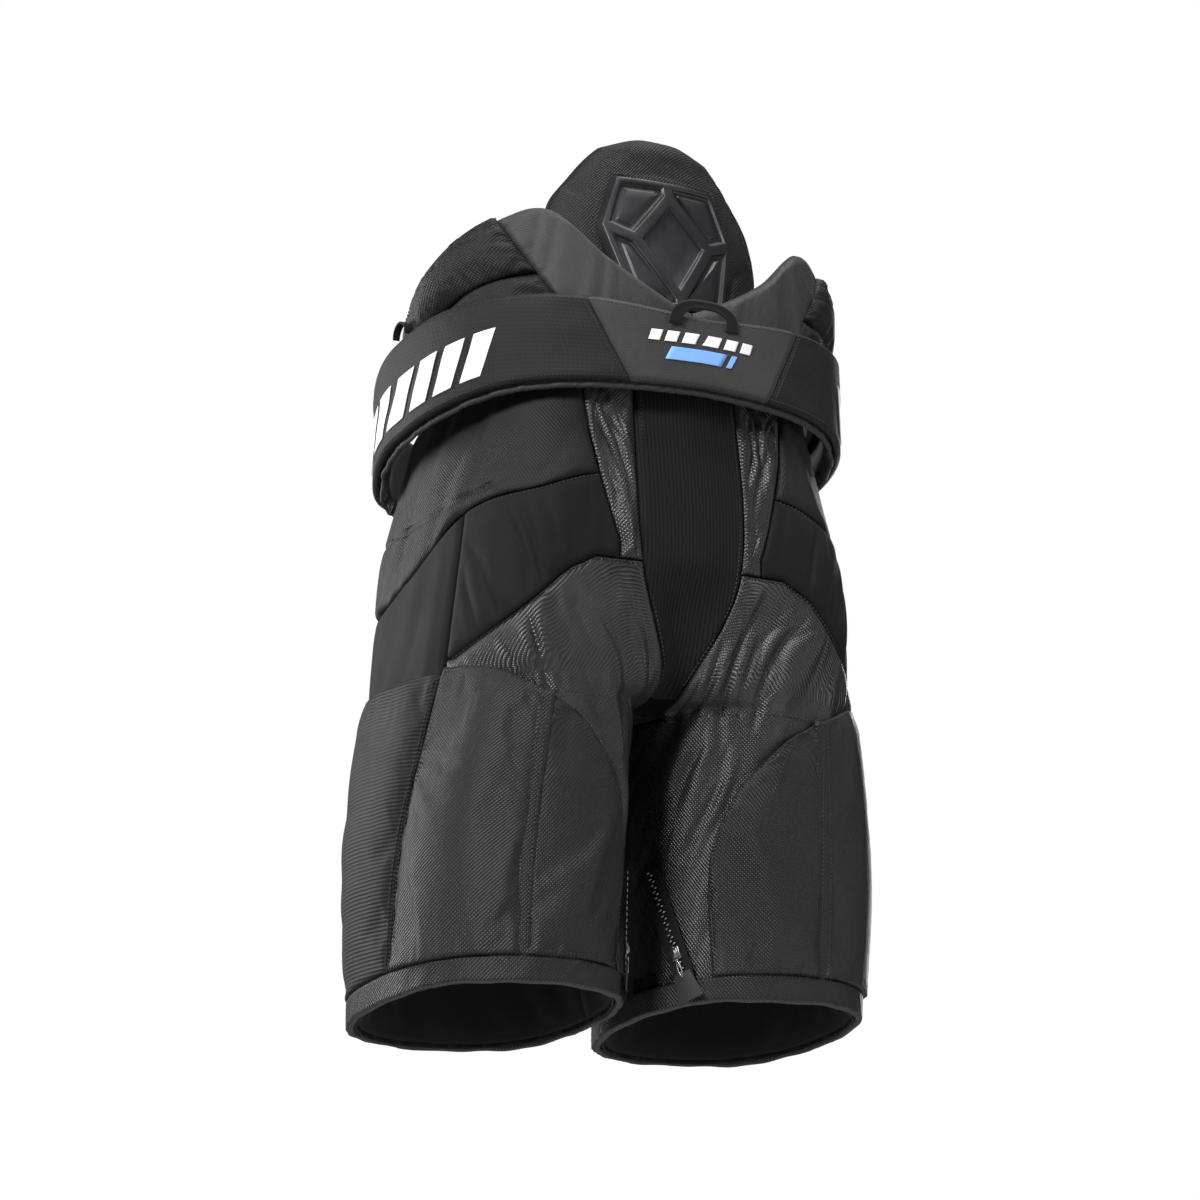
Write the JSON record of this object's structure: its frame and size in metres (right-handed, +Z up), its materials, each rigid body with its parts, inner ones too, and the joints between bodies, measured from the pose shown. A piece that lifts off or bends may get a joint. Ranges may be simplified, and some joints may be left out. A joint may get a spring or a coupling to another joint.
{
  "type": "padded ice hockey pants",
  "caption": "Padded ice hockey pants with a belt, a hinged spine guard, kidney pads, two swinging padded legs and inner thigh zips.",
  "frame": {"origin": "centre of the bounding box in plan, at the level of the flat hem that the pants stand on", "axes": "+Z up, +Y is the wearer's front, -Y the back with the spine guard, +X the wearer's right; symmetric about the YZ plane"},
  "size_m": [0.4186, 0.3405, 0.6858],
  "materials": {
    "satin_mesh": "shiny knitted mesh, near black",
    "lining": "brushed lining, charcoal",
    "twill": "matt stretch twill, black",
    "pad_weave": "diagonal weave with a broad sheen, charcoal",
    "ribbed_cloth": "fine level ribs, black",
    "nylon": "dense nylon, matt black",
    "ballistic": "coarse dotted nylon grid, charcoal",
    "rib_knit": "upright rib knit, black",
    "smooth_grey": "smooth tricot, dark grey",
    "webbing": "woven webbing, black",
    "plate_rubber": "moulded rubber, bluish black",
    "guard_plastic": "moulded sheet, black",
    "buckle_plastic": "moulded nylon, black",
    "zip_metal": "plated zinc, gunmetal"
  },
  "bodies": {
    "waist": {"hip_panel_left": "nylon", "hip_panel_right": "nylon", "gather_panel_left": "satin_mesh", "gather_panel_right": "satin_mesh", "seat_panel": "rib_knit", "fly_panel": "nylon", "crotch_gusset": "rib_knit", "inner_thigh_panel_left": "satin_mesh", "inner_thigh_panel_right": "satin_mesh", "side_flex_panel_left": "twill", "side_flex_panel_right": "twill", "stretch_panel_left": "twill", "stretch_panel_right": "twill", "tailbone_guard": "guard_plastic", "hip_guard_left": "guard_plastic", "hip_guard_right": "guard_plastic", "belt_label_panel": "smooth_grey", "belt_wing_left": "ballistic", "belt_wing_right": "ballistic", "belt_lining_left": "smooth_grey", "belt_lining_right": "smooth_grey", "belt_strap": "webbing", "buckle_frame": "buckle_plastic", "hanger_loop": "webbing", "suspender_loop_left": "webbing", "suspender_loop_right": "webbing", "kidney_pad_lower_left": "nylon", "kidney_pad_lower_right": "nylon", "kidney_pad_upper_left": "nylon", "kidney_pad_upper_right": "nylon", "collar_left": "smooth_grey", "collar_right": "smooth_grey"},
    "spine_guard": {"spine_pad": "nylon", "spine_plate": "plate_rubber", "spine_stiffener": "guard_plastic"},
    "left_leg": {"leg_shell_left": "satin_mesh", "leg_lining_left": "lining", "hem_band_left": "twill", "thigh_pad_outer_left": "pad_weave", "thigh_pad_inner_left": "pad_weave", "side_guard_left": "ribbed_cloth", "front_guard_left": "pad_weave", "thigh_shield_left": "guard_plastic", "zip_tape_left": "webbing", "zip_garage_left": "smooth_grey"},
    "right_leg": {"leg_shell_right": "satin_mesh", "leg_lining_right": "lining", "hem_band_right": "twill", "thigh_pad_outer_right": "pad_weave", "thigh_pad_inner_right": "pad_weave", "side_guard_right": "ribbed_cloth", "front_guard_right": "pad_weave", "thigh_shield_right": "guard_plastic", "zip_tape_right": "webbing", "zip_garage_right": "smooth_grey"},
    "left_zip_slider": {"zip_slider_left": "zip_metal"},
    "right_zip_slider": {"zip_slider_right": "zip_metal"},
    "left_zip_pull": {"zip_pull_left": "zip_metal"},
    "right_zip_pull": {"zip_pull_right": "zip_metal"},
    "buckle_lever": {"buckle_lever": "buckle_plastic"}
  },
  "joints": [
    {"name": "left_leg_swing", "type": "hinge", "parent": "waist", "child": "left_leg", "pos_m": [-0.1, 0.02197, 0.29353], "axis": [1, 0, 0], "range_deg": [-10, 20], "stiffness_Nm_per_rad": 10, "deforming": ["inner_thigh_panel_left", "side_flex_panel_left", "stretch_panel_left", "seat_panel", "fly_panel", "crotch_gusset"]},
    {"name": "right_leg_swing", "type": "hinge", "parent": "waist", "child": "right_leg", "pos_m": [0.1, 0.02197, 0.29353], "axis": [1, 0, 0], "range_deg": [-10, 20], "stiffness_Nm_per_rad": 10, "deforming": ["inner_thigh_panel_right", "side_flex_panel_right", "stretch_panel_right"]},
    {"name": "spine_guard_flex", "type": "hinge", "parent": "waist", "child": "spine_guard", "pos_m": [0, -0.12158, 0.48262], "axis": [-1, 0, 0], "range_deg": [-5, 12], "stiffness_Nm_per_rad": 4},
    {"name": "left_zip_slide", "type": "slide", "parent": "left_leg", "child": "left_zip_slider", "axis": [0.184, 0.1578, 0.9702], "range_m": [0, 0.06]},
    {"name": "right_zip_slide", "type": "slide", "parent": "right_leg", "child": "right_zip_slider", "axis": [-0.184, 0.1578, 0.9702], "range_m": [0, 0.06]},
    {"name": "left_zip_pull_flip", "type": "hinge", "parent": "left_zip_slider", "child": "left_zip_pull", "pos_m": [-0.02164, -0.01482, 0.03561], "axis": [-0.411, -0.8843, 0.2218], "range_deg": [0, 40]},
    {"name": "right_zip_pull_flip", "type": "hinge", "parent": "right_zip_slider", "child": "right_zip_pull", "pos_m": [0.02164, -0.01482, 0.03561], "axis": [-0.411, 0.8843, -0.2218], "range_deg": [0, 40]},
    {"name": "buckle_lever_flip", "type": "hinge", "parent": "waist", "child": "buckle_lever", "pos_m": [0, 0.15123, 0.4878], "axis": [1, 0, 0], "range_deg": [0, 85]}
  ]
}
